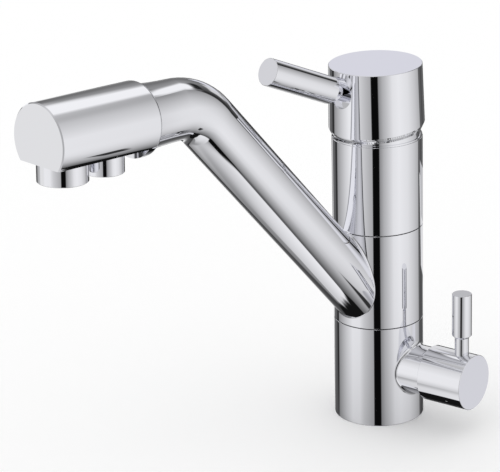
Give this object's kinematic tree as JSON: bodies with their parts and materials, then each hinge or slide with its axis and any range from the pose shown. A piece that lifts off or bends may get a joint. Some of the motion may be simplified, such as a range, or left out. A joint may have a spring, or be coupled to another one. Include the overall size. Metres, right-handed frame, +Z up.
{
  "type": "three way filtered water tap",
  "caption": "Polished kitchen mixer tap with an angled swivel spout, a top lever for hot and cold water, and a side valve with a pin for filtered water through its own outlet.",
  "frame": {"origin": "centre of the tap's base on the worktop", "axes": "+Z up along the column, -Y towards the user and along the spout at rest, +X to the side of the filter valve"},
  "size_m": [0.0915, 0.2603, 0.2316],
  "materials": {
    "chrome": "polished",
    "brass": "machined",
    "ceramic": "satin",
    "rubber": "matt",
    "slip_plastic": "matt",
    "cartridge_plastic": "matt",
    "insert_plastic": "satin",
    "tube_plastic": "satin",
    "steel": "satin"
  },
  "bodies": {
    "body": {"base_gasket": "rubber", "base_body": "chrome", "manifold_core": "brass", "collar_o_rings": "rubber", "lower_slip_ring": "slip_plastic", "upper_slip_ring": "slip_plastic", "upper_body": "chrome", "cartridge_base": "cartridge_plastic", "cartridge_seals": "rubber", "fixed_disc": "ceramic", "cartridge_housing": "cartridge_plastic", "cartridge_nut": "brass", "dome_cover": "chrome", "valve_seat_seal": "rubber", "valve_fixed_disc": "ceramic", "valve_headwork": "brass"},
    "spout": {"swivel_collar": "chrome", "spout_tube": "chrome", "spout_head": "chrome", "aerator_housing": "chrome", "aerator_washer": "rubber", "aerator_insert": "insert_plastic", "filter_nozzle": "chrome", "nozzle_washer": "rubber", "nozzle_insert": "insert_plastic", "filtered_water_tube": "tube_plastic"},
    "mixer_carrier": {"stem_carrier": "cartridge_plastic", "stem_pin": "steel"},
    "lever": {"lever_stem": "steel", "lever_cap": "chrome", "lever_rod": "chrome", "lever_grub_screw": "steel"},
    "disc_slider": {"moving_disc": "ceramic", "disc_driver": "cartridge_plastic"},
    "filter_knob": {"valve_turning_disc": "ceramic", "valve_spindle": "brass", "spindle_o_ring": "rubber", "valve_knob": "chrome", "valve_pin": "chrome", "knob_grub_screw": "steel"}
  },
  "joints": [
    {"name": "spout_swivel", "type": "hinge", "parent": "body", "child": "spout", "pos_m": [0, 0, 0.085], "axis": [0, 0, 1], "continuous": true},
    {"name": "lever_swivel", "type": "hinge", "parent": "body", "child": "mixer_carrier", "pos_m": [0, 0, 0.16], "axis": [0, 0, 1], "range_deg": [-30.5, 59.5]},
    {"name": "lever_lift", "type": "hinge", "parent": "mixer_carrier", "child": "lever", "pos_m": [0, 0, 0.16], "axis": [-0.9966, 0.0819, 0], "range_deg": [0, 20]},
    {"name": "disc_slide", "type": "slide", "parent": "mixer_carrier", "child": "disc_slider", "axis": [-0.0819, -0.9966, 0], "range_m": [0, 0.0035]},
    {"name": "filter_valve", "type": "hinge", "parent": "body", "child": "filter_knob", "pos_m": [0, 0, 0.0307], "axis": [0.9854, 0.1702, 0], "range_deg": [0, 90]}
  ],
  "couplings": [
    {"joint": "disc_slide", "follows": "lever_lift", "m_per_rad": 0.009949}
  ]
}
